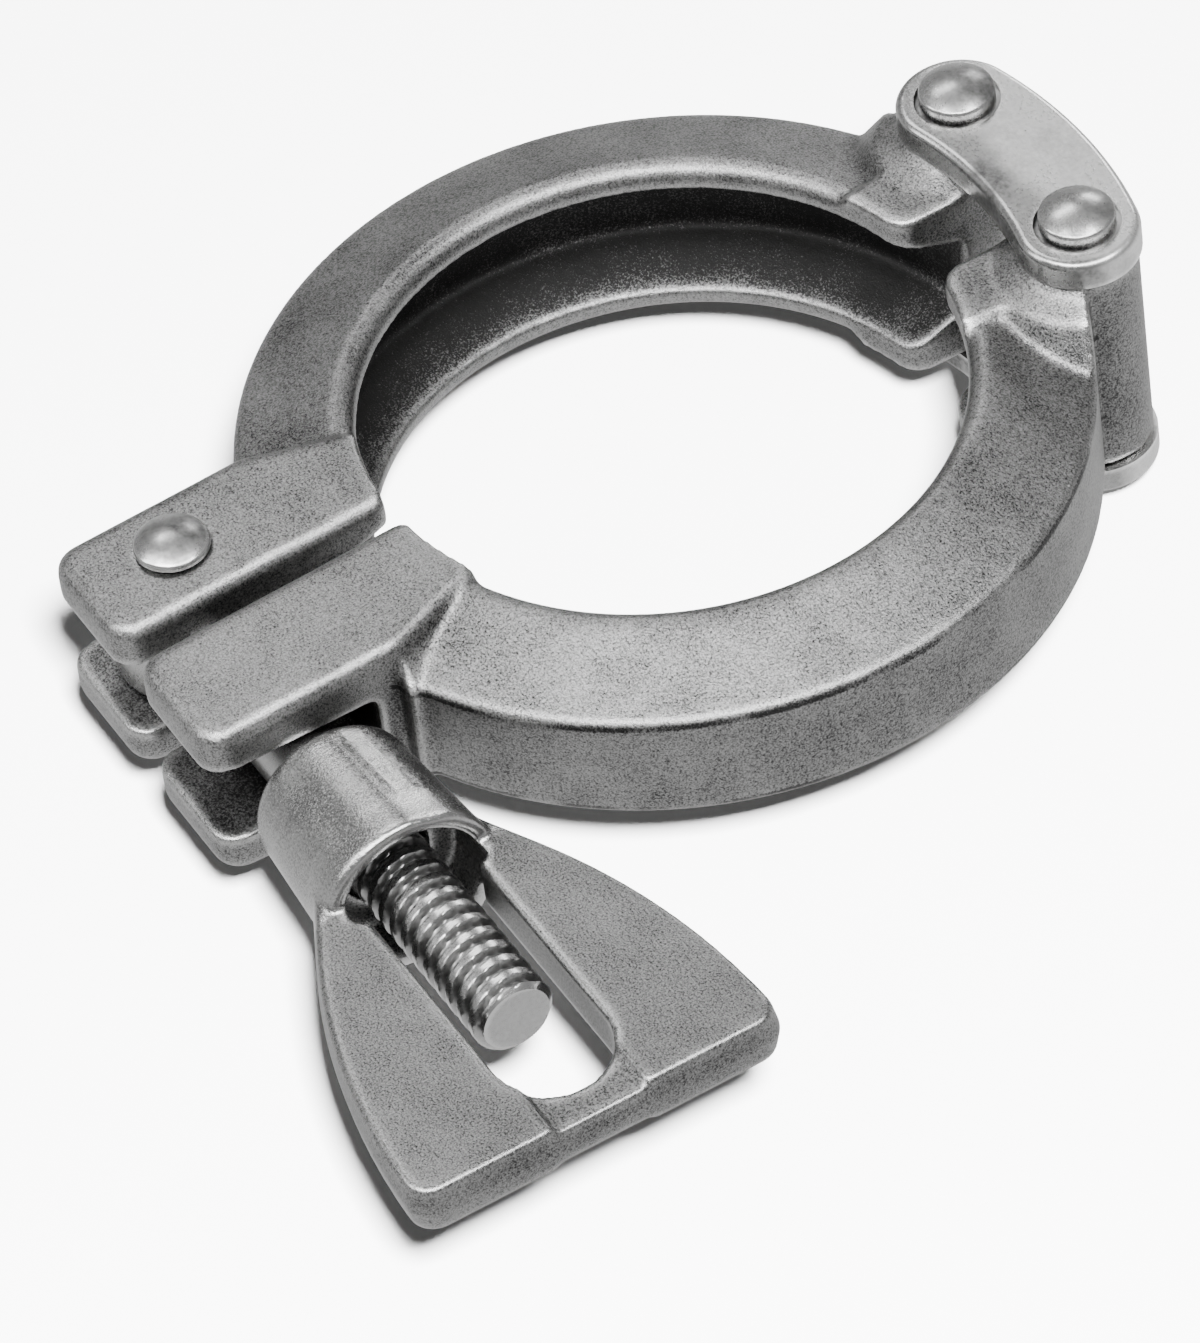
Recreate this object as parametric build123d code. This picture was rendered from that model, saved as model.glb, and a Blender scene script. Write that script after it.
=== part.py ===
from build123d import *
import math
import os

os.makedirs("parts", exist_ok=True)

# Hinged two-piece clamp for a 64 mm ferrule pair, mm.
# Z is the axis of the ring, X runs along the swing bolt, +Y points to the hinge.

# ---- ring channel ----
LIP_R = 28.5            # bore of the inner lips
RIM_R = 40.3            # outside of the ring
LIP_HALF = 10.0         # half of the height over the lips
LIP_FACE = 3.3          # height of one lip's cylindrical face
FLANK_DEG = 20.0        # slope of the channel flanks and of the outer cones
GROOVE_R = 35.4         # bottom of the channel
LIP_ROUND = 1.8         # rounding of the lip's top edge
RIM_ROUND = 0.8         # rounding of the rim's edges
SLOPE = math.tan(math.radians(FLANK_DEG))
RIM_HALF = LIP_HALF - (RIM_R - LIP_R) * SLOPE
BEYOND = 90.0           # reach of a cutting block past the part

# ---- ends of the halves ----
LUG_GAP = 2.6           # between the two lugs
HINGE_GAP = 7.0         # between the two ring ends at the hinge
END_CORNER = 2.5        # rounding of the lips' corners at the hinge

# ---- lugs ----
LUG_WIDTH = 13.9        # of one lug, along X
LUG_REACH = 16.7        # of the lugs past the ring
LUG_END_Y = -RIM_R - LUG_REACH
LUG_BEND_Y = -RIM_R + 3.8   # where the outer side turns inward
LUG_ROOT_X = LIP_R / 3 + 1.4    # outer side of the lug where it meets the bore
LUG_ROOT_Y = -LIP_R + 3.5
LUG_TOP_ROOT = LIP_HALF + 0.4   # half height at the ring
LUG_TOP_END = LUG_TOP_ROOT - 1.5    # half height at the outer end
LUG_EDGE = 1.7          # rounding of the lug's edges
LUG_CORNER = 2.6        # rounding of the lug's upright corners
WEB_OUT = 2.6           # how far the sloping web stands out at its foot
WEB_BACK = 0.9
FORK_HALF = 4.35        # half height of the slot between the ears

# ---- bolt ----
BOLT_INSET = 9.8        # bolt axis from the lugs' outer end
BOLT_Y = LUG_END_Y + BOLT_INSET
BOLT_R = 3.95           # crests of the thread
ROOT_R = BOLT_R - 0.7   # roots of the thread
PITCH = 2.0
SHANK_R = BOLT_R - 0.15
BOLT_END_X = 52.4
BOLT_CHAMFER = 0.7
THREAD_START_X = 20.4
EYE_R = 7.2
EYE_HALF = FORK_HALF - 0.2
EYE_X = -8.4
EYE_ROUND = 0.6
FORK_END_Y = BOLT_Y + EYE_R + 0.4   # closed end of the slot, clear of the eye
PIN_R = 3.0             # cross pin under the rivet heads
PIN_HEAD_R = PIN_R + 0.6
PIN_HEAD_SIDE = 0.5
PIN_HEAD_DOME = 1.2
PIN_SEAT = 0.35         # lifts the flat rivet head off the sloping ear
RUN = 0.06              # radial clearance of a running pin

# ---- hinge ----
HINGE_REACH = RIM_R + 0.75      # pin axes from the ring's axis
HINGE_X = 10.45
HINGE_Y = math.sqrt(HINGE_REACH ** 2 - HINGE_X ** 2)
KNUCKLE_R = 5.5
KNUCKLE_HALF = LIP_HALF + 2.0
PAD_R = 8.4             # ridge of the raised pad around the knuckle
PAD_TOP = LIP_HALF - 0.1
PAD_FLARE = 1.3         # rise of the pad towards the knuckle
PAD_FOOT_R = PAD_R + 3.0
PAD_FOOT = RIM_HALF
PAD_ROUND = 0.5
PATCH_X = 10.2          # flat corner between ring end and pad
PATCH_SPREAD = 2.6
LINK_T = 3.0
LINK_END_R = 5.9
LINK_ROUND = 0.8
HINGE_PIN_R = 2.8
HEAD_R = HINGE_PIN_R + 0.85
HEAD_SIDE = 1.3
HEAD_DOME = 1.1
HEAD_ROUND = 0.4
SINK_R = HEAD_R + 0.5   # shallow counterbore round each head
SINK_DEPTH = 0.5
AXIAL = 0.1             # axial play of knuckles and links

# ---- wing nut ----
NUT_GAP = 1.5           # the nut stands off the lug, so the bolt swings out freely
NUT_START_X = LUG_GAP / 2 + LUG_WIDTH + NUT_GAP
NOSE_R = 5.4
NOSE_L = 1.0
BARREL_L = 17.5
BARREL_END_X = NUT_START_X + BARREL_L
BARREL_R0 = 7.7
BARREL_R1 = BARREL_R0 + 1.2
BARREL_ROUND = 2.0
BARREL_LIP = 0.7        # rounding of the barrel's outer end
FACET_DEPTH = 0.28      # flat strip along the barrel's top
FACET_TURN = 19.0       # degrees from upright
NUT_BORE_R = BOLT_R + 0.35
CAVITY_R = BARREL_R1 - 1.7      # counterbore in the outer end of the barrel
CAVITY_L = 5.0
CAVITY_OUT = 2.0        # the counterbore runs on this far into the wings
WING_TOP = 2.7
WING_L = 43.0
WING_START_X = BARREL_END_X - 9.2
WING_END_X = WING_START_X + WING_L
WING_START_W = BARREL_R0 - 1.5
WING_MID_X = WING_START_X + WING_L / 3
WING_MID_W = 12.9
WING_HALF_W = 18.9
WING_CORNER = 2.5
WING_EDGE = 0.6
WING_DRAFT = 9.0        # the sides lean to a parting line at mid height, degrees
SLOT_HALF_W = BOLT_R + 1.7
SLOT_END_X = WING_END_X - 3.8
BAR_HALF_W = SLOT_HALF_W - 0.9
BAR_DROP = 0.7


def turned(points, axis=Axis.Z, angle=360):
    """Revolve a closed outline of (radius, height) points."""
    with BuildPart() as p:
        with BuildSketch(Plane.XZ):
            with BuildLine():
                Polyline(*points, close=True)
            make_face()
        revolve(axis=axis, revolution_arc=angle)
    return p.part


def circles(shape, radius):
    """Circular edges of one radius."""
    arcs = shape.edges().filter_by(GeomType.CIRCLE)
    return [e for e in arcs if abs(e.radius - radius) < 0.01]


def cyl(radius, z0, z1, x=0.0, y=0.0):
    return Pos(x, y, (z0 + z1) / 2) * Cylinder(radius, z1 - z0)


def block(x0, x1, y0, y1, z0, z1):
    size = Box(x1 - x0, y1 - y0, z1 - z0)
    return Pos((x0 + x1) / 2, (y0 + y1) / 2, (z0 + z1) / 2) * size


def prism(points, z0, z1):
    """Extrude a closed XY outline from z0 to z1."""
    with BuildPart() as p:
        with BuildSketch(Plane.XY.offset(z0)):
            with BuildLine():
                Polyline(*points, close=True)
            make_face()
        extrude(amount=z1 - z0)
    return p.part


# ---------------------------------------------------------------- halves
def ring_solid():
    """Full ring without its channel, cones outside, lips and rim rounded."""
    pts = [
        (LIP_R, -LIP_HALF),
        (RIM_R, -RIM_HALF),
        (RIM_R, RIM_HALF),
        (LIP_R, LIP_HALF),
    ]
    ring = turned(pts)
    ring = fillet(circles(ring, LIP_R), LIP_ROUND)
    return fillet(circles(ring, RIM_R), RIM_ROUND)


def channel():
    """V channel that holds the ferrule rims, open to the bore."""
    mouth = LIP_HALF - LIP_FACE
    floor = mouth - (GROOVE_R - LIP_R) * SLOPE
    inside = LIP_R - LIP_FACE
    pts = [
        (inside, mouth),
        (LIP_R, mouth),
        (GROOVE_R, floor),
        (GROOVE_R, -floor),
        (LIP_R, -mouth),
        (inside, -mouth),
    ]
    return turned(pts)


def frustum(low, high, z0, z1):
    """Ruled solid between two XY outlines with the same number of corners."""
    with BuildPart() as p:
        for outline, z in ((low, z0), (high, z1)):
            with BuildSketch(Plane.XY.offset(z)):
                with BuildLine():
                    Polyline(*outline, close=True)
                make_face()
        loft(ruled=True)
    return p.part


def both_sides(upper):
    """A form and its mirror image under the middle plane."""
    return upper + mirror(upper, about=Plane.XY)


def lug_solid():
    """Lug of the +X half with tapered top and bottom and rounded edges."""
    x0 = LUG_GAP / 2
    x1 = x0 + LUG_WIDTH
    outline = [
        (x0, LUG_END_Y),
        (x1, LUG_END_Y),
        (x1, LUG_BEND_Y),
        (LUG_ROOT_X, LUG_ROOT_Y),
        (x0, LUG_ROOT_Y),
    ]
    body = prism(outline, -LUG_TOP_ROOT, LUG_TOP_ROOT)
    side = [
        (LUG_END_Y, LUG_TOP_END),
        (LUG_ROOT_Y, LUG_TOP_ROOT),
        (LUG_ROOT_Y, -LUG_TOP_ROOT),
        (LUG_END_Y, -LUG_TOP_END),
    ]
    with BuildPart() as p:
        with BuildSketch(Plane.YZ):
            with BuildLine():
                Polyline(*side, close=True)
            make_face()
        extrude(amount=BEYOND)
    body = body & p.part
    upright = [e for e in body.edges().filter_by(Axis.Z) if e.center().Y < LUG_END_Y + 1]
    body = fillet(upright, LUG_CORNER)
    ends = [e for e in body.edges() if abs(e.center().Z) > FORK_HALF]
    rims = [e for e in ends if e.center().Y < LUG_ROOT_Y - 0.1]
    return fillet(rims, LUG_EDGE)


def lug_web():
    """Sloping web that leads from the lug's outer side down to the cone."""
    x0 = LUG_GAP / 2
    x1 = x0 + LUG_WIDTH
    top = lug_top_at(LUG_BEND_Y) - LUG_EDGE / 2
    high = [
        (x0, LUG_BEND_Y),
        (x1 - LUG_EDGE / 2, LUG_BEND_Y),
        (LUG_ROOT_X - LUG_EDGE / 2, LUG_ROOT_Y),
        (x0, LUG_ROOT_Y),
    ]
    low = [
        (x0, LUG_BEND_Y - WEB_BACK),
        (x1 + WEB_OUT, LUG_BEND_Y - WEB_BACK),
        (LUG_ROOT_X + WEB_OUT, LUG_ROOT_Y + WEB_BACK),
        (x0, LUG_ROOT_Y + WEB_BACK),
    ]
    return both_sides(prism(low, 0, RIM_HALF) + frustum(low, high, RIM_HALF, top))


def hinge_pad():
    """Pad that flares from the knuckle and slopes to the cone, with a flat corner to the ring end."""
    top = KNUCKLE_HALF - AXIAL
    profile = [
        (0, top),
        (KNUCKLE_R, top),
        (KNUCKLE_R, PAD_TOP + PAD_FLARE),
        (PAD_R, PAD_TOP),
        (PAD_FOOT_R, PAD_FOOT),
        (PAD_FOOT_R, 0),
        (0, 0),
    ]
    pad = turned(profile)
    pad = fillet(circles(pad, PAD_R), PAD_ROUND)
    pad = Pos(HINGE_X, HINGE_Y, 0) * pad
    inner_y = LIP_R - LIP_FACE
    high = [(0, inner_y), (PATCH_X, inner_y), (PATCH_X + 1.2, HINGE_Y - PAD_R / 2), (0, HINGE_Y)]
    low = [
        (0, inner_y),
        (PATCH_X + PATCH_SPREAD, inner_y),
        (PATCH_X + 1.2 + PATCH_SPREAD, HINGE_Y - PAD_R / 2),
        (0, HINGE_Y + PATCH_SPREAD),
    ]
    pad = pad + frustum(low, high, RIM_HALF, PAD_TOP)
    pad = pad & cyl(RIM_R, 0, KNUCKLE_HALF)
    knuckle = cyl(KNUCKLE_R, 0, top, HINGE_X, HINGE_Y)
    return both_sides(pad + knuckle)


def end_corner():
    """Cutter that rounds the lips' corners at the hinge end in plan."""
    end_x = HINGE_GAP / 2
    cx = end_x + END_CORNER
    cy = math.sqrt((LIP_R + END_CORNER) ** 2 - cx ** 2)
    share = (LIP_R - 1) / (LIP_R + END_CORNER)
    outline = [
        (end_x - 1, cy),
        (cx, cy),
        (cx * share, cy * share),
        (end_x - 1, cy * share),
    ]
    return prism(outline, -BEYOND, BEYOND) - cyl(END_CORNER, -BEYOND, BEYOND, cx, cy)


def half():
    """The +X casting, as drawn; the other half is the same one turned over."""
    body = ring_solid() & block(0, BEYOND, -BEYOND, BEYOND, -BEYOND, BEYOND)
    body = body + hinge_pad() + (lug_solid() + lug_web())
    body = body - channel()
    body = body - cyl(LIP_R, -BEYOND, BEYOND)
    body = body - block(-BEYOND, LUG_GAP / 2, -BEYOND, 0, -BEYOND, BEYOND)
    body = body - block(-BEYOND, HINGE_GAP / 2, 0, BEYOND, -BEYOND, BEYOND)
    body = body - end_corner()
    body = body - block(-1, BEYOND, -BEYOND, FORK_END_Y, -FORK_HALF, FORK_HALF)
    body = body - cyl(HINGE_PIN_R + RUN, -BEYOND, BEYOND, HINGE_X, HINGE_Y)
    return body


def turned_over(shape):
    return Rot(0, 180, 0) * shape


# ---------------------------------------------------------------- hinge
def link_outline():
    """Annular band with round ends through both hinge pins."""
    swing = math.atan2(HINGE_X, HINGE_Y)
    inner = HINGE_REACH - LINK_END_R
    outer = HINGE_REACH + LINK_END_R

    def at(radius, angle):
        return (radius * math.sin(angle), radius * math.cos(angle))

    tip_x = HINGE_X + LINK_END_R * math.cos(swing)
    tip_y = HINGE_Y - LINK_END_R * math.sin(swing)
    with BuildSketch() as s:
        with BuildLine():
            ThreePointArc(at(outer, -swing), at(outer, 0), at(outer, swing))
            ThreePointArc(at(outer, swing), (tip_x, tip_y), at(inner, swing))
            ThreePointArc(at(inner, swing), at(inner, 0), at(inner, -swing))
            ThreePointArc(at(inner, -swing), (-tip_x, tip_y), at(outer, -swing))
        make_face()
    return s.sketch


def link():
    """Upper hinge link, sitting on the knuckles."""
    plate = extrude(Pos(0, 0, KNUCKLE_HALF) * link_outline(), LINK_T)
    top = KNUCKLE_HALF + LINK_T
    rim = [e for e in plate.edges() if abs(e.center().Z - top) < 0.01]
    plate = fillet(rim, LINK_ROUND)
    for x in (-HINGE_X, HINGE_X):
        plate = plate - cyl(HINGE_PIN_R + RUN, 0, BEYOND, x, HINGE_Y)
        plate = plate - cyl(SINK_R, top - SINK_DEPTH, BEYOND, x, HINGE_Y)
    return plate


def domed_head(radius, side, dome):
    """Head standing on z = 0: short cylinder, rounded shoulder, low dome."""
    sphere_r = (radius * radius + dome * dome) / (2 * dome)
    with BuildPart() as p:
        with BuildSketch(Plane.XZ):
            with BuildLine():
                Polyline((0, 0), (radius, 0), (radius, side))
                RadiusArc((radius, side), (0, side + dome), -sphere_r)
                Line((0, side + dome), (0, 0))
            make_face()
        revolve(axis=Axis.Z)
    rim = [e for e in circles(p.part, radius) if e.center().Z > side / 2]
    return fillet(rim, HEAD_ROUND)


def hinge_pin(x):
    seat = KNUCKLE_HALF + LINK_T - SINK_DEPTH
    side = HEAD_SIDE + SINK_DEPTH
    head = Pos(0, 0, seat) * domed_head(HEAD_R, side, HEAD_DOME)
    foot = turned_over(head)
    pin = cyl(HINGE_PIN_R, -seat, seat) + head + foot
    return Pos(x, HINGE_Y, 0) * pin


# ---------------------------------------------------------------- bolt
def lug_top_at(y):
    """Half height of the lug's tapered face at y."""
    share = (LUG_ROOT_Y - y) / (LUG_ROOT_Y - LUG_END_Y)
    return LUG_TOP_ROOT + (LUG_TOP_END - LUG_TOP_ROOT) * share


def bolt_pin():
    """Riveted pin, its heads stand on the ears."""
    seat = lug_top_at(BOLT_Y) + PIN_SEAT
    head = Pos(0, 0, seat) * domed_head(PIN_HEAD_R, PIN_HEAD_SIDE, PIN_HEAD_DOME)
    pin = cyl(PIN_R, -seat, seat) + head + turned_over(head)
    return Pos(EYE_X, BOLT_Y, 0) * pin


def thread_outline():
    """Radius against length along the bolt, a row of rounded V grooves."""
    start = EYE_X + EYE_R - EYE_ROUND * 3
    points = [(0, start), (SHANK_R, start), (SHANK_R, THREAD_START_X)]
    turns = int((BOLT_END_X - BOLT_CHAMFER - THREAD_START_X) / PITCH)
    for turn in range(turns):
        x = THREAD_START_X + PITCH * turn
        points.append((ROOT_R, x + PITCH * 0.35))
        points.append((ROOT_R, x + PITCH * 0.5))
        points.append((BOLT_R, x + PITCH * 0.85))
        points.append((BOLT_R, x + PITCH))
    points.append((BOLT_R, BOLT_END_X - BOLT_CHAMFER))
    points.append((BOLT_R - BOLT_CHAMFER, BOLT_END_X))
    points.append((0, BOLT_END_X))
    return points


def on_bolt(shape):
    """Stand a shape drawn about Z on the bolt's axis, its height along X."""
    return Pos(0, BOLT_Y, 0) * (Rot(0, 90, 0) * shape)


def swing_bolt():
    eye = cyl(EYE_R, -EYE_HALF, EYE_HALF, EYE_X, BOLT_Y)
    eye = fillet(circles(eye, EYE_R), EYE_ROUND)
    bolt = on_bolt(turned(thread_outline())) + eye
    return bolt - cyl(PIN_R + RUN, -BEYOND, BEYOND, EYE_X, BOLT_Y)


# ---------------------------------------------------------------- wing nut
def barrel():
    """Tapered barrel of the nut with a flat strip along its top."""
    shoulder = NUT_START_X + NOSE_L
    points = [
        (0, NUT_START_X),
        (NOSE_R, NUT_START_X),
        (NOSE_R, shoulder),
        (BARREL_R0, shoulder),
        (BARREL_R1, BARREL_END_X),
        (0, BARREL_END_X),
    ]
    body = turned(points)
    body = fillet(circles(body, BARREL_R0), BARREL_ROUND)
    body = fillet(circles(body, BARREL_R1), BARREL_LIP)
    lean = math.degrees(math.atan2(BARREL_R1 - BARREL_R0, BARREL_END_X - shoulder))
    strip = block(-BARREL_L, BARREL_L * 2, -BARREL_R0, BARREL_R0, -FACET_DEPTH, BARREL_R0)
    strip = Pos(shoulder, 0, BARREL_R0) * (Rot(0, -lean, 0) * strip)
    strip = Pos(0, BOLT_Y, 0) * (Rot(-FACET_TURN, 0, 0) * strip)
    return on_bolt(body) - strip


def wing_outline(inset=0.0):
    """Fan outline in the XY plane about the bolt axis, drawn in by inset."""
    far_x = WING_END_X - inset
    end_x = far_x - WING_CORNER
    half_w = WING_HALF_W - inset
    start_w = WING_START_W - inset
    with BuildSketch() as s:
        with BuildLine():
            for side in (1, -1):
                start = (WING_START_X, side * start_w)
                end = (end_x, side * half_w)
                middle = (WING_MID_X, side * (WING_MID_W - inset))
                Spline(start, middle, end, tangents=[(1, side * 0.35), (1, side * 0.04)])
                Line(end, (far_x, side * half_w))
            Line((WING_START_X, -start_w), (WING_START_X, start_w))
            Line((far_x, -half_w), (far_x, half_w))
        make_face()
        corners = s.vertices().filter_by(lambda v: v.X > far_x - 0.01)
        fillet(corners, WING_CORNER - 0.1)
    return s.sketch


def wing_nut():
    inset = WING_TOP * math.tan(math.radians(WING_DRAFT))
    plate = loft([wing_outline().face(), Pos(0, 0, WING_TOP) * wing_outline(inset).face()])
    plate = Pos(0, BOLT_Y, 0) * plate
    flat = [e for e in plate.edges() if abs(e.center().Z - WING_TOP) < 0.01]
    rims = [e for e in flat if e.center().X > WING_START_X + 1]
    plate = fillet(rims, WING_EDGE)
    nut = both_sides(plate) + barrel()
    slot_end = SLOT_END_X - SLOT_HALF_W
    sides = (BOLT_Y - SLOT_HALF_W, BOLT_Y + SLOT_HALF_W)
    slot = block(BARREL_END_X, slot_end, *sides, -BEYOND, BEYOND)
    slot = slot + cyl(SLOT_HALF_W, -BEYOND, BEYOND, slot_end, BOLT_Y)
    nut = nut - slot
    sides = (BOLT_Y - BAR_HALF_W, BOLT_Y + BAR_HALF_W)
    bar_top = WING_TOP - BAR_DROP
    nut = nut - block(slot_end, BEYOND, *sides, bar_top, BEYOND)
    nut = nut - block(slot_end, BEYOND, *sides, -BEYOND, -bar_top)
    nut = nut - on_bolt(cyl(NUT_BORE_R, 0, BARREL_END_X))
    return nut - on_bolt(cyl(CAVITY_R, BARREL_END_X - CAVITY_L, BARREL_END_X + CAVITY_OUT))


# ---------------------------------------------------------------- output
def casting_nut_side():
    return half()


def casting_bolt_side():
    other = turned_over(half())
    return other - cyl(PIN_R, -BEYOND, BEYOND, EYE_X, BOLT_Y)


PARTS = {
    "half_bolt_side": casting_bolt_side(),
    "half_nut_side": casting_nut_side(),
    "link_upper": link(),
    "link_lower": turned_over(link()),
    "hinge_pin_bolt_side": hinge_pin(-HINGE_X),
    "hinge_pin_nut_side": hinge_pin(HINGE_X),
    "bolt_pin": bolt_pin(),
    "swing_bolt": swing_bolt(),
    "wing_nut": wing_nut(),
}

for name, shape in PARTS.items():
    solids = shape.solids()
    solid = solids[0] if len(solids) == 1 else Compound(children=list(solids))
    print(name, "solids", len(solids), "volume", round(shape.volume, 1))
    export_step(solid, f"parts/{name}.step")
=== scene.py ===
# %% [markdown]
# # Hinged clamp for sanitary pipe
# The clamp is two cast half rings with a V channel inside. A pair of link plates joins them at the back,
# and a swing bolt with a slotted wing nut draws them together at the front.
# Every piece stands ready in the CAD frame. This lesson gives the pieces their steel, wears the corners of
# the castings down, cuts a true thread on the bolt and lights the clamp as a catalogue would.

# %% Load the frame
import math
import bmesh
import bpy
from mathutils import Matrix, Vector


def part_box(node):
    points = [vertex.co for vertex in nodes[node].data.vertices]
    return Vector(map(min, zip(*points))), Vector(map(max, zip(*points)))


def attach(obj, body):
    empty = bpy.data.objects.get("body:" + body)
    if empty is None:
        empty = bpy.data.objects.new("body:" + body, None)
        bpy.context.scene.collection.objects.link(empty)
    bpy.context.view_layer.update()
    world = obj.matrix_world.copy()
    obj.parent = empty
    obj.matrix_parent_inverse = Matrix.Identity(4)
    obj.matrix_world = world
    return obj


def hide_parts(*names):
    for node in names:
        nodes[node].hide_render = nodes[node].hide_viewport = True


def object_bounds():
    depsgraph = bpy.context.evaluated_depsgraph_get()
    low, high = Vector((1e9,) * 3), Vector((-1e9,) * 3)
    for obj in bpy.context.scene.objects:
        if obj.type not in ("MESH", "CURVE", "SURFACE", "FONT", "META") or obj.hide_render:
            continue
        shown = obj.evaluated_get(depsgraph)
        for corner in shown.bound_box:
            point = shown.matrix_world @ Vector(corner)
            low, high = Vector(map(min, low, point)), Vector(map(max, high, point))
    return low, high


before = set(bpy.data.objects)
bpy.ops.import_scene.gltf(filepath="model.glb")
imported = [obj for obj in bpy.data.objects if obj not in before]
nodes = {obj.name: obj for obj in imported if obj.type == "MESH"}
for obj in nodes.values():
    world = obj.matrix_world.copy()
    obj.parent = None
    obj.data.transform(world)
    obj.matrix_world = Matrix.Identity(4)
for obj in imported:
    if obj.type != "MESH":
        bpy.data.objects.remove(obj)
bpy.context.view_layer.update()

print("nodes:", ", ".join(sorted(nodes)))

# %% [markdown]
# ## Measures
# Painted light follows form: the channel is painted darker as shade, the rim gets painted shadow lines near
# its edges and the nut a painted highlight along its facet. So the finishes need to know where these are.
# Every place that a node's box can give is read from the frame, in metres, and only the few sizes inside a
# casting are written down.

# %% Where things are
bolt_low, bolt_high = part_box("swing_bolt")
bolt_y = (bolt_low[1] + bolt_high[1]) / 2
hinge_low, hinge_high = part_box("hinge_pin_bolt_side")
hinge_y = (hinge_low[1] + hinge_high[1]) / 2
rim_radius = -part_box("half_bolt_side")[0][0]
channel_radius = 0.0354
channel_half = 0.0064
shadow_line_height = 0.0052
barrel_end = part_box("wing_nut")[0][0] + 0.0175
facet_turn = math.radians(19)
print("bolt axis at y", round(1000 * bolt_y, 2), "mm, hinge at", round(1000 * hinge_y, 2), "mm")
print("rim radius", round(1000 * rim_radius, 2), "mm, barrel ends at", round(1000 * barrel_end, 2), "mm")

# %% [markdown]
# ## Node maths in plain Python
# Node trees are quicker to read as sums. The Socket class wraps one output of a node, and its operators add
# the Math nodes for it. It works in a material and in a Geometry Nodes tree alike, because both know the
# Math and Map Range nodes.

# %% Socket
class Socket:
    """One output of a node. owner is the tree that new nodes go into."""

    def __init__(self, owner, out):
        self.owner = owner
        self.out = out

    def math(self, operation, *others, swap=False, clamp=False):
        values = [self, *others]
        if swap:
            values.reverse()
        settings = {"operation": operation, "use_clamp": clamp}
        return self.owner.node("ShaderNodeMath", settings, dict(enumerate(values)))

    def __add__(self, other):
        return self.math("ADD", other)

    __radd__ = __add__

    def __mul__(self, other):
        return self.math("MULTIPLY", other)

    __rmul__ = __mul__

    def __sub__(self, other):
        return self.math("SUBTRACT", other)

    def __rsub__(self, other):
        return self.math("SUBTRACT", other, swap=True)

    def __truediv__(self, other):
        return self.math("DIVIDE", other)

    def __rtruediv__(self, other):
        return self.math("DIVIDE", other, swap=True)

    def clamped(self):
        """Held between 0 and 1."""
        return self.math("ADD", 0.0, clamp=True)

    def smooth(self, low, high):
        """0 below low, 1 above high, eased between."""
        settings = {"interpolation_type": "SMOOTHSTEP"}
        ends = {"Value": self, "From Min": low, "From Max": high}
        return self.owner.node("ShaderNodeMapRange", settings, ends)

    def band(self, a, b, c, d):
        """0 below a and above d, 1 from b to c, eased between."""
        return self.smooth(a, b) * (1.0 - self.smooth(c, d))

    def axes(self):
        """The x, y and z of a vector."""
        return [self.owner.node("ShaderNodeSeparateXYZ", None, {0: self}, output=i) for i in range(3)]


print("Socket ready")

# %% [markdown]
# ## Trees and finishes
# Any node that isn't plain maths comes from one method: first the node's settings, then the values or links
# of its sockets. A Finish is a tree of that kind that holds one material. Its patterns lie on the object
# coordinates, which are the frame's own metres, so they stay on a piece when it moves.

# %% Tree and Finish
class Tree:
    """A node tree that nodes are added to in one call each."""

    def __init__(self, tree):
        self.tree = tree

    def feed(self, socket, value):
        if isinstance(value, Socket):
            self.tree.links.new(value.out, socket)
        else:
            socket.default_value = value

    def node(self, kind, settings=None, inputs=None, output=0):
        made = self.tree.nodes.new(kind)
        for key, value in (settings or {}).items():
            setattr(made, key, value)
        for key, value in (inputs or {}).items():
            self.feed(made.inputs[key], value)
        return Socket(self, made.outputs[output])


class Finish(Tree):
    """One material."""

    def __init__(self, name):
        self.material = bpy.data.materials.new(name)
        self.material.use_nodes = True
        super().__init__(self.material.node_tree)
        self.shader = self.tree.nodes["Principled BSDF"]
        self.coords = self.node("ShaderNodeTexCoord", output=3)

    def noise(self, scale, detail, roughness):
        """Cloudy noise with 'scale' cells to the metre, 0 to 1."""
        links = {"Vector": self.coords, "Scale": scale, "Detail": detail, "Roughness": roughness}
        return self.node("ShaderNodeTexNoise", None, links)

    def grey(self, low, high, factor):
        """Colour between two greys, each a trace warmer than neutral."""
        dark, light = ((v, v * 0.998, v * 0.99, 1.0) for v in (low, high))
        settings = {"data_type": "RGBA"}
        return self.node("ShaderNodeMix", settings, {"Factor": factor, 6: dark, 7: light}, output=2)

    def bump(self, height, distance, strength, under=None):
        links = {"Height": height, "Distance": distance, "Strength": strength}
        if under is not None:
            links["Normal"] = under
        return self.node("ShaderNodeBump", None, links)

    def set(self, **inputs):
        for key, value in inputs.items():
            self.feed(self.shader.inputs[key.replace("_", " ")], value)


print("Tree and Finish ready")

# %% [markdown]
# ## Painted shade in recesses, bright edges
# The castings come out of a tumbling drum with rubbed edges. Their outer edges are painted brighter, partly
# for that wear and partly as a painted highlight, and their recesses get painted shade. Painting that by hand
# would tie it to one mesh. Two Ambient Occlusion nodes find it instead: one looks outward and finds what lies
# deep, the other looks inward and finds where the metal is thin, which is at its outer edges.

# %% Edge and recess masks
def edge_and_recess(finish, edge_size, recess_size):
    """Masks: how much a point is on an outer edge, and how much it lies in a recess."""
    outward = {"samples": 8, "only_local": True}
    inward = {"samples": 8, "inside": True, "only_local": True}
    open_sky = finish.node("ShaderNodeAmbientOcclusion", outward, {"Distance": recess_size}, output=1)
    solid = finish.node("ShaderNodeAmbientOcclusion", inward, {"Distance": edge_size}, output=1)
    return (1.0 - solid).smooth(0.06, 0.42), 1.0 - open_sky


print("masks for edges and recesses ready")
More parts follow.
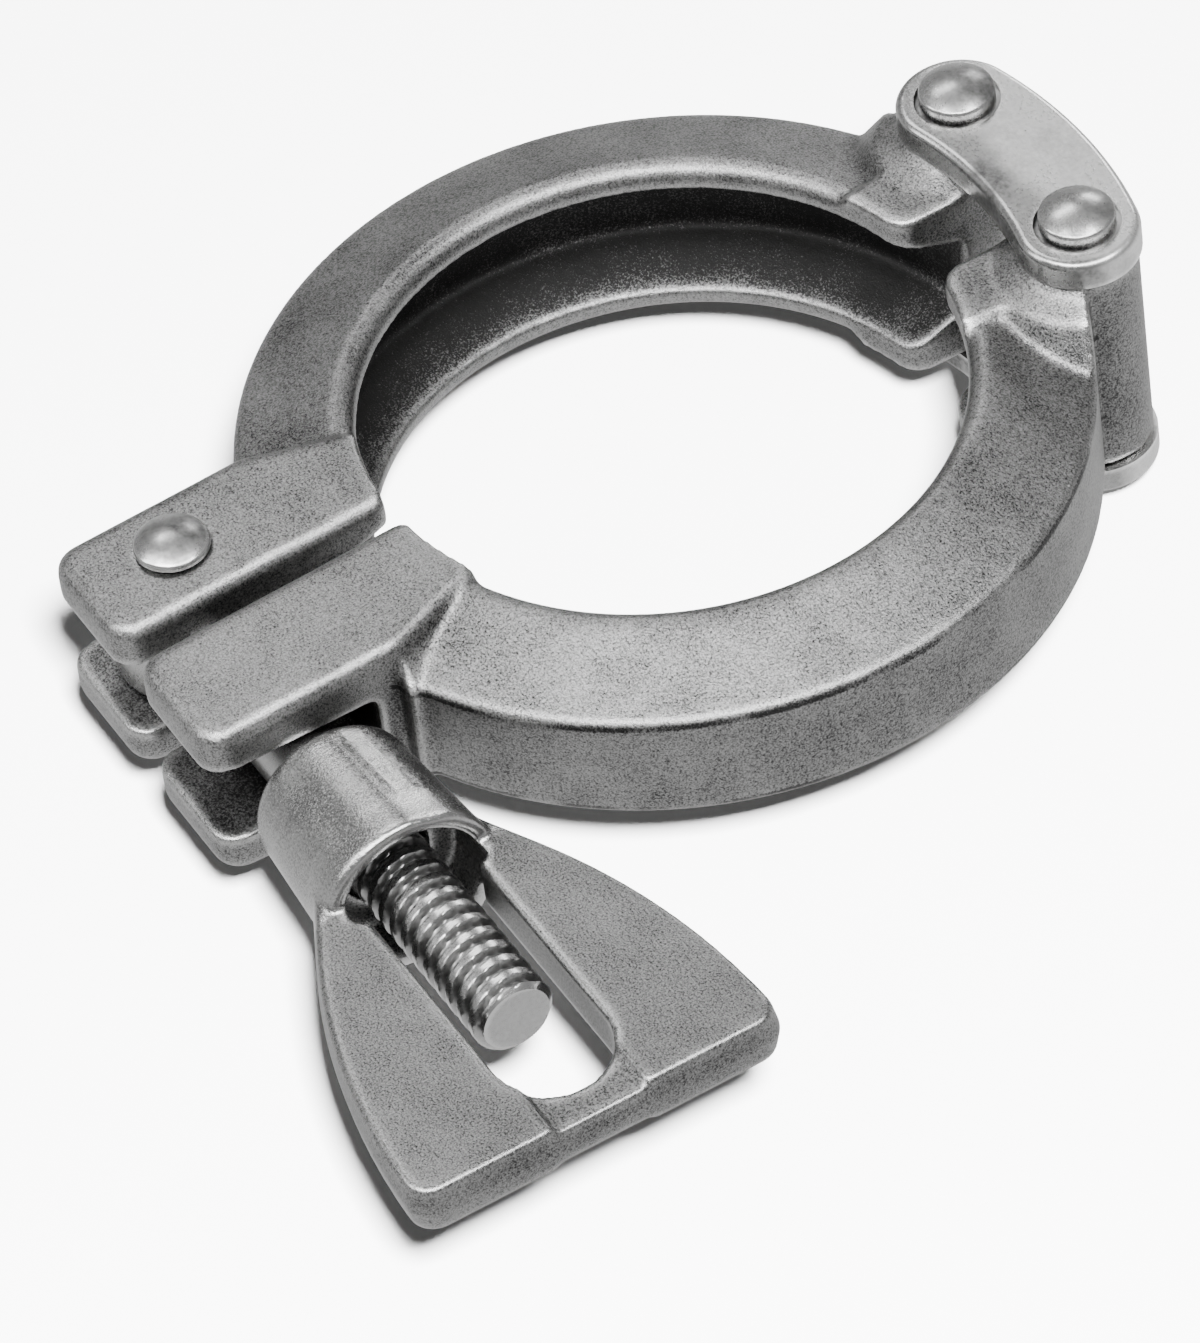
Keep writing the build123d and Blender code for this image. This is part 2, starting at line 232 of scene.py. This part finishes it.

# %% [markdown]
# ## Painted shade on the halves
# The V channel is painted darker, as the shade that falls deep in it, and is made a little rougher. On the
# rim a broken dark line follows both edges as a painted shadow line. Both masks come from the distance to the
# ring's axis and the height over its middle plane.

# %% Painted channel shade and shadow lines
def half_painted_shade(finish):
    """How much darker and how much smoother a point of a half is."""
    x, y, z = finish.coords.axes()
    radius = (x * x + y * y).math("SQRT")
    height = z.math("ABSOLUTE")
    inside = 1.0 - radius.smooth(channel_radius, channel_radius + 0.0008)
    channel = inside * (1.0 - height.smooth(channel_half - 0.0008, channel_half + 0.0008))
    # On the rim wall near each edge: a broken painted shadow line.
    wall = radius.band(rim_radius - 0.0007, rim_radius - 0.0003, rim_radius + 0.0005, rim_radius + 0.0009)
    broken = finish.noise(60.0, 3.0, 0.6).smooth(0.42, 0.58)
    off_line = (height - shadow_line_height).math("ABSOLUTE")
    line = wall * broken * (1.0 - off_line.smooth(0.0001, 0.0004))
    # channel is painted shade deep in the V channel; line is a painted shadow line on the rim wall.
    return channel * 0.22 + line * 0.5, channel * -0.1


print("marks of the halves ready")

# %% [markdown]
# ## Painted light on the nut
# The barrel is smoother than the flat wings, as polished, and its colour is painted brighter as a sheen.
# Along the barrel runs a narrow facet with a painted highlight in the middle and a painted dark reflection on
# either side. The mask is measured across the facet, so its two edges stay straight.

# %% Barrel and facet
def nut_painted_light(finish):
    """How much darker and how much smoother a point of the nut is."""
    x, y, z = finish.coords.axes()
    # on_barrel paints the barrel brighter as a sheen and makes it smoother.
    on_barrel = 1.0 - x.smooth(barrel_end, barrel_end + 0.0006)
    length = x.band(barrel_end - 0.0165, barrel_end - 0.0145, barrel_end - 0.0048, barrel_end - 0.0026)
    facet_reflection_patch = finish.noise(900.0, 3.0, 0.6).smooth(0.30, 0.60) * length * z.smooth(0.004, 0.006)
    # Along the facet: strip is a painted highlight, beside a painted dark reflection on either side of it.
    across = (y - bolt_y) * math.cos(facet_turn) - z * math.sin(facet_turn)
    strip = across.band(-0.0009, -0.0005, 0.0009, 0.0014) * facet_reflection_patch
    beside = (across.band(-0.0019, -0.0013, 0.0026, 0.0038) * facet_reflection_patch - strip).clamped()
    return 0.04 - on_barrel * 0.34 - strip * 0.5 + beside * 0.45, on_barrel * 0.10 + strip * 0.04


print("marks of the nut ready")

# %% [markdown]
# ## Cast and tumbled stainless steel
# Cast steel is a fine sandy grey, with pits and soft clouds in it. One noise would look like film, so four
# sizes are added up: sand, specks, clouds and patches. The same sums set the grey, the roughness and a very
# shallow bump, so what is dark is also rough and low, as dirt in a pit is.

# %% The cast finish
def cast_steel(name, low, high, polish, grain, marks):
    """Sandy steel between two greys. polish is the base roughness, grain the depth of the bump."""
    steel = Finish(name)
    edge, recess = edge_and_recess(steel, 0.0015, 0.013)
    sand = steel.noise(5200.0, 2.0, 0.6)
    speck = steel.noise(2600.0, 3.0, 0.7)
    cloud = steel.noise(190.0, 4.0, 0.55)
    patch = steel.noise(55.0, 3.0, 0.5)
    pits = speck.smooth(0.58, 0.72)
    darker, smoother = marks(steel)
    grains = (sand - 0.5) * 1.1 + (speck - 0.5) * 0.7 - pits * 0.2
    clouds = (cloud - 0.5) * 0.4 + (patch - 0.5) * 0.3
    # Base grey: sand, specks and clouds are the steel's own tone; recess lays painted shade, edge brightens
    # outer edges, part wear and part painted highlight; darker holds the painted light of the halves or the
    # nut.
    shade = 0.33 + grains + clouds - recess * 0.60 + edge * 0.9 - darker
    rough = polish + (cloud - 0.5) * 0.16 + (sand - 0.5) * 0.18 + recess * 0.12 - edge * 0.12 - smoother
    steel.set(Base_Color=steel.grey(low, high, shade.clamped()))
    steel.set(Roughness=rough.clamped(), Metallic=1.0)
    fine = steel.bump(sand * 0.6 + speck * 0.9 - pits * 0.6, grain, 0.5)
    steel.set(Normal=steel.bump(cloud, grain * 3.0, 0.35, under=fine))
    return steel.material


casting = cast_steel("cast and tumbled steel", 0.025, 0.52, 0.38, 0.00008, half_painted_shade)
nut_casting = cast_steel("cast nut steel", 0.025, 0.46, 0.36, 0.00006, nut_painted_light)
print("made", casting.name, "and", nut_casting.name)

# %% [markdown]
# ## Smoother steel for plates, pins and bolt
# The link plates and the pins are pressed and tumbled, so they are brighter and carry soft stains in place
# of sand. The links are stained most along their inner edge, on the side of the ring. The bolt is turned: its
# crests are smoother and painted brighter as a highlight, and its roots get painted shade.

# %% The smooth finishes
def smooth_steel(name, low, high, polish, stain, grain, recess_size=0.004, inner=None):
    """Pressed steel with soft stains. stain is how dark they are, inner the y range of a stained edge."""
    steel = Finish(name)
    edge, recess = edge_and_recess(steel, 0.0008, recess_size)
    sand = steel.noise(2200.0, 2.0, 0.6)
    cloud = steel.noise(230.0, 4.0, 0.6)
    smear = steel.noise(90.0, 3.0, 0.55)
    marks = (smear * 0.6 + cloud * 0.4).smooth(0.50, 0.66)
    # recess lays painted shade in hollows and thread roots; edge brightens outer edges and crests as a
    # painted highlight, on the tumbled plates and pins also as wear.
    shade = 0.72 + (sand - 0.5) * 0.35 - marks * stain - recess * 0.7 + edge * 0.3
    if inner is not None:
        ragged = steel.coords.axes()[1] + (smear - 0.5) * 0.004
        shade = shade - (1.0 - ragged.smooth(*inner)) * 0.42
    steel.set(Base_Color=steel.grey(low, high, shade.clamped()))
    rough = polish + marks * 0.12 + (sand - 0.5) * 0.10 + recess * 0.1 - edge * 0.08
    steel.set(Roughness=rough.clamped(), Metallic=1.0)
    steel.set(Normal=steel.bump(sand + cloud, grain, 0.4))
    return steel.material


inner_edge = (hinge_y - 0.0022, hinge_y + 0.0008)
plate = smooth_steel("pressed link steel", 0.06, 0.95, 0.28, 0.25, 0.00003, inner=inner_edge)
rivet = smooth_steel("riveted pin steel", 0.03, 0.56, 0.27, 0.60, 0.00003)
turned = smooth_steel("turned bolt steel", 0.02, 0.50, 0.28, 0.20, 0.00001, recess_size=0.0012)
print("made", plate.name + ",", rivet.name, "and", turned.name)

# %% [markdown]
# ## Links and pins keep their shape
# The plates and pins are simple pressed and headed pieces, and the frame's meshes of them are crisp enough.
# So only their material slots are given the new finishes.

# %% Dress the links and pins
dressed = {
    plate: ("link_upper", "link_lower"),
    rivet: ("hinge_pin_bolt_side", "hinge_pin_nut_side", "bolt_pin"),
}
for finish, names in dressed.items():
    for name in names:
        for material_slot in nodes[name].material_slots:
            material_slot.material = finish
    print(finish.name, "on", ", ".join(names))

# %% [markdown]
# ## Castings lose their corners
# Molten steel and a tumbling drum leave no sharp corner, inside or out. A bevel would need clean edges all
# over, and a casting's webs and pads meet in many small ones. So each casting is copied, its loose triangles
# are merged into one closed skin, and the skin is laid on a fine even grid. A few relaxing passes then do
# the drum's work: outer corners wear down and inner ones fill.

# %% Soften
def linked(name, mesh):
    """New object for a mesh, placed in the scene at the origin."""
    made = bpy.data.objects.new(name, mesh)
    bpy.context.scene.collection.objects.link(made)
    return made


def plain_mesh(name, shaped):
    """The mesh of an object with its modifiers applied. The object itself is deleted."""
    mesh = bpy.data.meshes.new_from_object(shaped.evaluated_get(bpy.context.evaluated_depsgraph_get()))
    shaped.modifiers.clear()
    bpy.data.objects.remove(shaped)
    mesh.name = name
    return mesh


def closed_skin(mesh, distance):
    """Merge a mesh's loose triangles and turn its faces outward."""
    work = bmesh.new()
    work.from_mesh(mesh)
    bmesh.ops.remove_doubles(work, verts=work.verts, dist=distance)
    bmesh.ops.recalc_face_normals(work, faces=work.faces)
    work.to_mesh(mesh)
    work.free()


def softened(name, node, grid, passes, material):
    """Closed copy of a CAD node on a fine grid, relaxed so that its corners become round."""
    skin = nodes[node].data.copy()
    closed_skin(skin, 1e-6)
    sharp = linked(name + "_skin", skin)
    lattice = sharp.modifiers.new("grid", "REMESH")
    lattice.mode = "VOXEL"
    lattice.voxel_size = grid
    relax = sharp.modifiers.new("relax", "SMOOTH")
    relax.factor = 0.5
    relax.iterations = passes
    mesh = plain_mesh(name, sharp)
    mesh.materials.clear()
    mesh.materials.append(material)
    mesh.shade_smooth()
    return linked(name, mesh)


print("softening ready")

# %% [markdown]
# ## Three softened castings
# The two halves are large and thick, so they take a wider grid and more passes than the nut, whose wing has
# thinner edges. Each copy rides on its body, takes its finish and stands in for its node, which is hidden.

# %% Soften the castings
castings = {
    "half_bolt_side": ("bolt_half", "cast_steel", 0.00040, 9, casting),
    "half_nut_side": ("nut_half", "cast_steel", 0.00040, 9, casting),
    "wing_nut": ("nut", "nut_steel", 0.00032, 7, nut_casting),
}
for node, (body, slot, grid, passes, finish) in castings.items():
    piece = softened("soft_" + node, node, grid, passes, finish)
    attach(piece, body)
    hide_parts(node)
    print(piece.name, len(piece.data.polygons), "faces")

# %% [markdown]
# ## A true thread on the swing bolt
# The frame's bolt has plain rings. Here the rings become one helix. A thread is a rule: the radius of a
# point depends only on how far along the bolt it lies and how far round. So a flat grid is wrapped round the
# axis by Geometry Nodes, and each point looks up its radius in the thread's profile. The sizes are named
# inputs of the tree.

# %% Helpers for a shape tree
class Shaper(Tree):
    """A Geometry Nodes tree with named inputs."""

    def __init__(self, name):
        super().__init__(bpy.data.node_groups.new(name, "GeometryNodeTree"))
        self.keys = {}
        self.source = self.tree.nodes.new("NodeGroupInput")

    def input(self, name, kind="Float"):
        made = self.tree.interface.new_socket(name, in_out="INPUT", socket_type="NodeSocket" + kind)
        self.keys[name] = made.identifier
        return Socket(self, self.source.outputs[name])

    def finish(self, geometry):
        self.tree.interface.new_socket("Geometry", in_out="OUTPUT", socket_type="NodeSocketGeometry")
        sink = self.tree.nodes.new("NodeGroupOutput")
        self.feed(sink.inputs[0], geometry)


def grown(name, shaper, values):
    """Run a tree on an empty mesh with these input values and return the plain mesh object."""
    seed = linked(name + " seed", bpy.data.meshes.new(name + " seed"))
    modifier = seed.modifiers.new("shape", "NODES")
    modifier.node_group = shaper.tree
    for key, value in values.items():
        modifier[shaper.keys[key]] = value
    return linked(name, plain_mesh(name, seed))


print("shape tree helpers ready")

# %% [markdown]
# ## The thread's profile
# Over one pitch the profile is a rounded crest between two rounded roots, as a rolled coarse thread has. A
# fade lets the groove run out towards the plain shank, a chamfer takes the last edge off, and the first and
# last rows of the grid are drawn in to the axis, which closes both ends.

# %% The tree of the threaded stem
def stem_tree():
    """Grid wrapped round the bolt's axis, with a right-hand thread from Thread Start to End."""
    t = Shaper("threaded stem")
    start, cut, end = (t.input(name) for name in ("Start", "Thread Start", "End"))
    shank, crest, root = (t.input(name) for name in ("Shank Radius", "Crest Radius", "Root Radius"))
    pitch, chamfer, height = (t.input(name) for name in ("Pitch", "Chamfer", "Axis Y"))
    along, around = (t.input(name, "Int") for name in ("Steps Along", "Steps Round"))
    finish = t.input("Finish", "Material")

    sizes = {"Size X": 1.0, "Size Y": 1.0, "Vertices X": along, "Vertices Y": around}
    grid = t.node("GeometryNodeMeshGrid", None, sizes)
    flat_x, flat_y, _ = t.node("GeometryNodeInputPosition").axes()
    u, v = flat_x + 0.5, flat_y + 0.5

    cap = 0.003
    x = start + ((u - cap) / (1.0 - 2.0 * cap)).clamped() * (end - start)
    phase = (x / pitch - v).math("FRACT")
    ridge = (phase - 0.5).math("ABSOLUTE") * 2.0
    fade = ((x - cut) / pitch).clamped()
    groove = (crest - root) * (1.0 - ridge.smooth(0.22, 0.62)) * fade
    body = shank + (crest - shank) * fade - groove
    radius = body.math("MINIMUM", crest - chamfer + (end - x))
    between_caps = (u - cap / 2.0).math("GREATER_THAN", 0.0) * (1.0 - cap / 2.0 - u).math("GREATER_THAN", 0.0)
    radius = radius * between_caps
    turn = v * (2.0 * math.pi)
    round_axis = {0: x, 1: radius * turn.math("COSINE") + height, 2: radius * turn.math("SINE")}
    where = t.node("ShaderNodeCombineXYZ", None, round_axis)
    wrapped = t.node("GeometryNodeSetPosition", None, {"Geometry": grid, "Position": where})
    closed = t.node("GeometryNodeMergeByDistance", None, {"Geometry": wrapped, "Distance": 0.000002})
    real = t.node("GeometryNodeRealizeInstances", None, {"Geometry": closed})
    t.finish(t.node("GeometryNodeSetMaterial", None, {"Geometry": real, "Material": finish}))
    return t


print("stem tree ready")

# %% [markdown]
# ## The stem and its sizes
# The bolt is 7.9 mm over its crests with a coarse pitch of 2 mm, and its shank is a little thinner. Where it
# begins and ends comes from the box of the frame's bolt. The stem starts just inside the eye, so that the
# two meet without a gap.

# %% Grow the stem
eye_radius = (bolt_high[1] - bolt_low[1]) / 2
eye_x = bolt_low[0] + eye_radius
into_eye = 0.0012
stem = grown("threaded_stem", stem_tree(), {
    "Start": eye_x + eye_radius - into_eye,
    "Thread Start": 0.020,
    "End": bolt_high[0],
    "Shank Radius": 0.0038,
    "Crest Radius": 0.00395,
    "Root Radius": 0.00325,
    "Pitch": 0.0020,
    "Chamfer": 0.0006,
    "Axis Y": bolt_y,
    "Steps Along": 420,
    "Steps Round": 73,
    "Finish": turned,
})
print("stem:", len(stem.data.polygons), "faces")

# %% [markdown]
# ## The eye of the bolt
# The eye is a forged ring that turns on the cross pin. Its section is a rectangle with rounded outer corners,
# so one outline is spun round the pin. A tree would be more than this needs: a loop lays the vertices turn by
# turn and joins each outline to the next.

# %% Spin the eye
def rounded_outline(inner, outer, half, radius, steps=6):
    """Radius and height pairs of a ring's section with rounded outer corners."""
    points = [(inner, -half)]
    for side, first in ((-1, -90), (1, 0)):
        for i in range(steps + 1):
            a = math.radians(first + 90 * i / steps)
            out = outer - radius + radius * math.cos(a)
            points.append((out, side * (half - radius) + radius * math.sin(a)))
    points.append((inner, half))
    return points


def ring(name, outline, centre, segments=96):
    """Closed ring spun from an outline round a vertical axis at centre."""
    count = len(outline)
    vertices = []
    for i in range(segments):
        a = 2 * math.pi * i / segments
        for radius, height in outline:
            vertices.append((centre[0] + radius * math.cos(a), centre[1] + radius * math.sin(a), height))
    faces = []
    for i in range(segments):
        j = (i + 1) % segments
        for k in range(count):
            m = (k + 1) % count
            faces.append((i * count + k, j * count + k, j * count + m, i * count + m))
    mesh = bpy.data.meshes.new(name)
    mesh.from_pydata(vertices, [], faces)
    return linked(name, mesh)


eye_bore = 0.00306
eye = ring("bolt_eye", rounded_outline(eye_bore, eye_radius, bolt_high[2], 0.0006), (eye_x, bolt_y))
eye.data.materials.append(turned)
print("eye:", len(eye.data.polygons), "faces")

# %% [markdown]
# ## Stem and eye make the bolt
# Both pieces move with the bolt, so both ride on its body and together stand in for the frame's node.
# Shading is smooth over the thread's flanks and crisp at any edge sharper than 32 degrees.

# %% Join them to the bolt
for piece in (eye, stem):
    closed_skin(piece.data, 1e-7)
    piece.data.shade_smooth()
    piece.data.set_sharp_from_angle(angle=math.radians(32))
    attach(piece, "bolt")
    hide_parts("swing_bolt")
print("the bolt is", stem.name, "and", eye.name)

# %% [markdown]
# ## Floor
# A large pale sheet lies just under the lowest point. Steel only shows what it mirrors, and a pale floor only
# shows what falls on it, so the two are lit apart: the floor is hidden from the steel's mirror, and the sky
# stands in for it there.

# %% Floor
low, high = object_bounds()
reach = 4.0
corners = [(-reach, -reach), (reach, -reach), (reach, reach), (-reach, reach)]
sheet = bpy.data.meshes.new("floor")
sheet.from_pydata([(x, y, low[2] - 0.0002) for x, y in corners], [], [(0, 1, 2, 3)])
floor = linked("floor", sheet)
floor.visible_glossy = False
pale = Finish("pale floor")
pale.set(Base_Color=(0.95, 0.95, 0.95, 1.0), Roughness=1.0, Specular_IOR_Level=0.0)
sheet.materials.append(pale.material)
print("floor at", round(1000 * low[2], 2), "mm")

# %% [markdown]
# ## The studio's sky
# The steel mirrors grey surroundings that are darkest a little above the horizon and brighter above and
# below, as a tent over a white table is. The brightness depends only on height, so a ramp of five greys is
# enough. It lights no floor.

# %% Sky
def studio_sky(stops):
    """Grey surroundings whose brightness depends on height: stops are (level -1..1, grey) pairs."""
    world = bpy.data.worlds.new("studio")
    bpy.context.scene.world = world
    world.use_nodes = True
    world.cycles_visibility.diffuse = False
    sky = Tree(world.node_tree)
    height = sky.node("ShaderNodeTexCoord").axes()[2]
    share = sky.node("ShaderNodeMapRange", None, {"Value": height, "From Min": -1.0})
    colour = sky.node("ShaderNodeValToRGB", None, {0: share})
    marks = colour.out.node.color_ramp.elements
    while len(marks) < len(stops):
        marks.new(0.5)
    for mark, (level, grey) in zip(marks, stops):
        mark.position = (level + 1) / 2
        mark.color = (grey, grey, grey, 1.0)
    sky.feed(sky.tree.nodes["Background"].inputs[0], colour)


studio_sky([(-1.0, 1.35), (-0.1, 0.90), (0.25, 0.38), (0.65, 0.56), (1.0, 0.75)])
print("a sky of five greys")

# %% [markdown]
# ## Lamps and panels
# One small lamp near the lens lights the floor and leaves a close shadow, and a wide one overhead opens that
# shadow a little. The steel sees neither. It sees six soft panels instead: one behind that lights the flat
# tops, one low for the nut's facet, three over the lens for the worn edges and one at the side.

# %% Light
def softbox(name, azimuth, elevation, distance, size, power, on_steel):
    """Lamp aimed at the clamp. It shows either on the steel or on the floor.

    Azimuth 0 is on the -Y side and 90 on the +X side.
    """
    a, e = math.radians(azimuth), math.radians(elevation)
    flat = math.cos(e) * distance
    place = centre + Vector((math.sin(a) * flat, -math.cos(a) * flat, math.sin(e) * distance))
    lamp = bpy.data.lights.new(name, "AREA")
    lamp.shape = "RECTANGLE"
    lamp.size, lamp.size_y = size
    lamp.energy = power
    made = linked(name, lamp)
    made.location = place
    made.rotation_euler = (centre - place).to_track_quat("-Z", "Y").to_euler()
    made.visible_glossy = on_steel
    made.visible_diffuse = not on_steel


centre = (Vector(low) + Vector(high)) / 2
softbox("floor_key", 73.5, 53, 1.2, (0.15, 0.15), 180.0, False)
softbox("floor_fill", 40, 80, 1.2, (1.6, 1.6), 1.5, False)
softbox("back_panel", 262, 52, 1.0, (0.45, 0.2), 2.2, True)
softbox("facet_panel", 223, 23, 1.0, (0.25, 0.2), 1.3, True)
for azimuth in (15, 65, 115):
    softbox("edge_panel", azimuth, 62, 1.0, (0.5, 0.35), 9.0, True)
softbox("side_panel", 335, 40, 1.0, (0.3, 0.6), 4.0, True)
print("two floor lamps and six panels")

# %% [markdown]
# ## Camera
# A catalogue looks at a clamp from half above, over the wing nut, with a long lens that keeps the ring's
# ellipse true. The camera stands back along its line of sight and is rolled a little, so that the bolt runs
# down and the ring lies level.

# %% Camera
def stand_camera(azimuth, elevation, roll, distance, lens, shift):
    """Camera that looks at the origin, moved across its line of sight by shift, in metres."""
    a, e, r = (math.radians(v) for v in (azimuth, elevation, roll))
    back = Vector((math.sin(a) * math.cos(e), -math.cos(a) * math.cos(e), math.sin(e)))
    right = Vector((math.cos(a), math.sin(a), 0.0))
    up = back.cross(right)
    turned_right = right * math.cos(r) + up * math.sin(r)
    turned_up = up * math.cos(r) - right * math.sin(r)
    data = bpy.data.cameras.new("camera")
    data.lens = lens
    data.sensor_width = 36.0
    data.clip_start, data.clip_end = 0.05, 20.0
    made = linked("camera", data)
    place = back * distance - turned_right * shift[0] - turned_up * shift[1]
    frame_axes = Matrix((turned_right, turned_up, back)).transposed().to_4x4()
    made.matrix_world = Matrix.Translation(place) @ frame_axes
    bpy.context.scene.camera = made


stand_camera(azimuth=65.45, elevation=46.0, roll=-8.5, distance=0.868, lens=249.7, shift=(0.00645, 0.02033))
print("camera", bpy.context.scene.camera.name, "set")

# %% [markdown]
# ## The end
# The dressed clamp has to stay inside the box of its CAD.

# %% The end
print("done")
